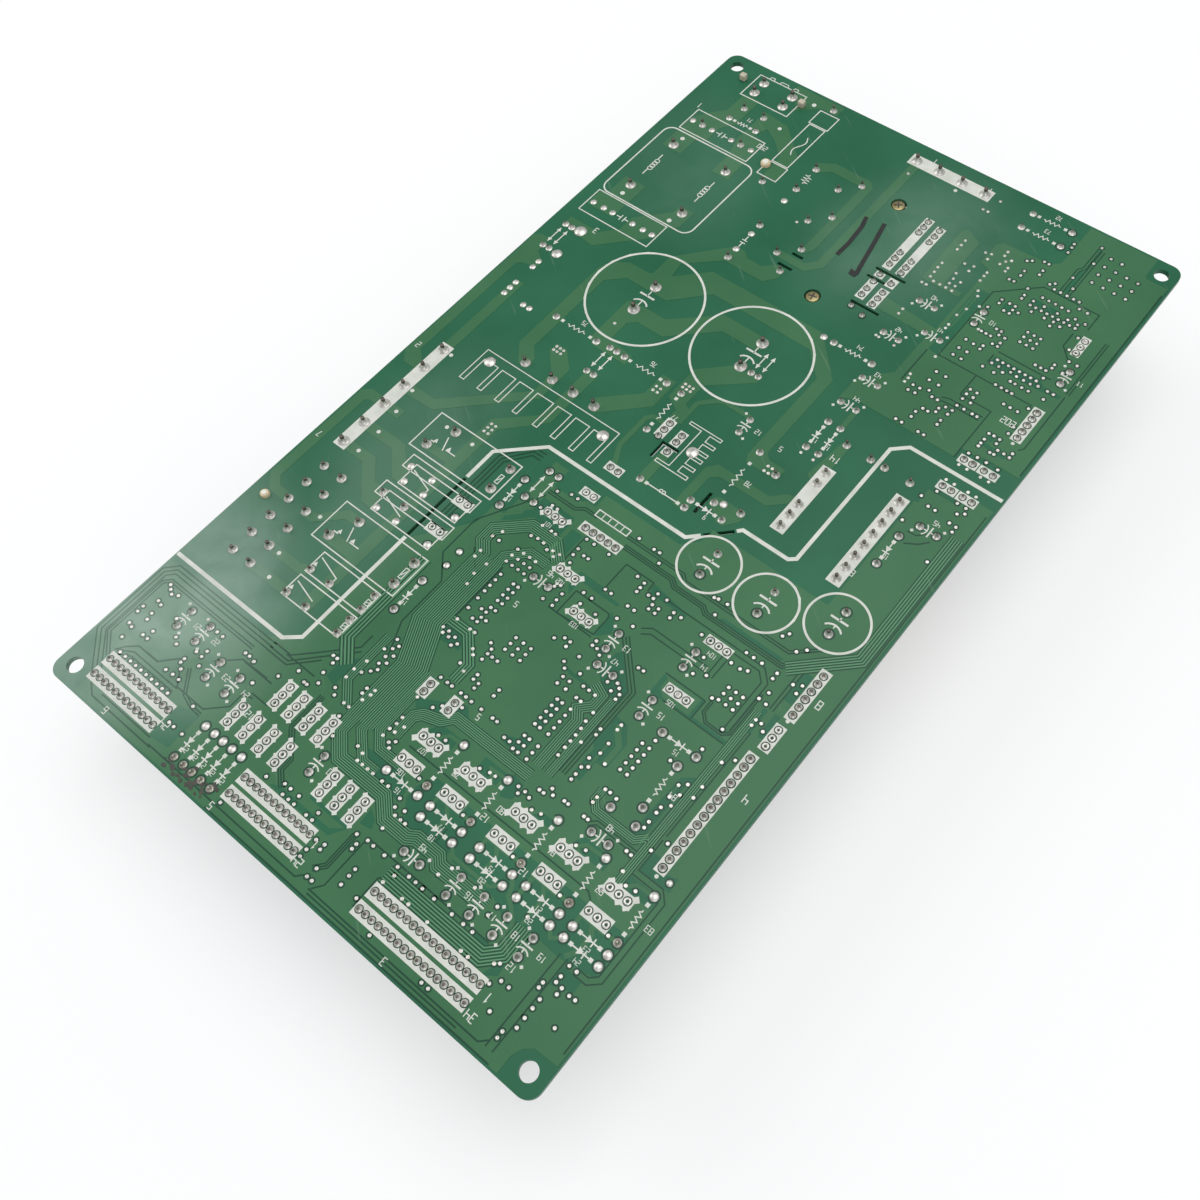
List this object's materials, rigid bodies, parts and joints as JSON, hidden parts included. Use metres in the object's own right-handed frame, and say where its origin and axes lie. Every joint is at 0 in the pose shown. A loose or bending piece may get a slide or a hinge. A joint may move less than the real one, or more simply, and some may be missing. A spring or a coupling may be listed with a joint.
{
  "type": "refrigerator control board",
  "caption": "Inverter control board of a refrigerator, seen from its soldered face, with power parts, relays and harness plugs hanging below.",
  "frame": {"origin": "centre of the four corner screw holes, on the soldered face of the board", "axes": "+Z out of the soldered face, +Y along the board towards the mains inlet end, +X across it"},
  "size_m": [0.1624, 0.28, 0.0448],
  "materials": {
    "resistor_coating": "satin",
    "black_epoxy": "fine matt",
    "black_sleeve": "glossy",
    "black_plastic": "satin",
    "ferrite": "dull, slightly rough",
    "copper_wire": "glossy",
    "board_mask": "satin green coating",
    "white_plastic": "satin",
    "tinned_brass": "bright metal",
    "coated_copper": "satin, lighter green",
    "fuse_ceramic": "matt",
    "yellow_case": "satin",
    "white_print": "matt",
    "aluminium": "extruded, bare",
    "tinned_copper": "bright metal",
    "zinc_steel": "yellow passivated metal",
    "nylon": "satin",
    "brown_case": "glossy",
    "blue_coating": "satin",
    "blue_plastic": "satin",
    "solder": "bright metal with dull, fluxed tips",
    "beige_nylon": "satin",
    "cement": "matt",
    "yellow_tape": "satin"
  },
  "bodies": {
    "root": {"axial_resistors": "resistor_coating", "bridge_rectifier": "black_epoxy", "bulk_capacitor_1": "black_sleeve", "bulk_capacitor_2": "black_sleeve", "choke_bobbins": "black_plastic", "choke_core": "ferrite", "choke_windings": "copper_wire", "circuit_board": "board_mask", "compressor_connector": "white_plastic", "compressor_pins": "tinned_brass", "copper_areas": "coated_copper", "diodes": "black_epoxy", "ferrite_bead": "ferrite", "fuse_clips": "tinned_brass", "fuse_tube": "fuse_ceramic", "interference_capacitor_1": "yellow_case", "interference_capacitor_2": "yellow_case", "legend_print": "white_print", "load_connector": "white_plastic", "load_pins": "tinned_brass", "mains_connector": "white_plastic", "mains_pins": "tinned_brass", "microcontrollers": "black_epoxy", "module_heatsink": "aluminium", "module_leads": "tinned_copper", "module_screws": "zinc_steel", "nylon_pegs": "nylon", "output_capacitors": "black_sleeve", "photocouplers": "white_plastic", "power_module": "black_epoxy", "power_relays": "black_plastic", "pulse_capacitors": "brown_case", "rectifier_heatsink": "aluminium", "rectifier_screw": "zinc_steel", "regulator_clip": "zinc_steel", "regulator_heatsink": "aluminium", "resonators": "yellow_case", "safety_capacitors": "blue_coating", "side_header_pins": "tinned_brass", "side_headers": "white_plastic", "signal_header_left": "white_plastic", "signal_header_middle": "blue_plastic", "signal_header_pins": "tinned_brass", "signal_header_right": "white_plastic", "small_electrolytics": "black_sleeve", "small_relays": "black_plastic", "solder_joints": "solder", "solid_state_switch": "black_epoxy", "spacer_pegs": "beige_nylon", "surge_resistor": "cement", "switching_regulator": "black_epoxy", "test_header": "black_plastic", "transformer_bobbin": "black_plastic", "transformer_core": "ferrite", "transformer_winding": "yellow_tape", "transistors": "black_epoxy", "twelve_way_connector": "blue_plastic", "twelve_way_pins": "tinned_brass", "varistor": "blue_coating", "wire_jumpers": "tinned_copper"}
  },
  "joints": []
}
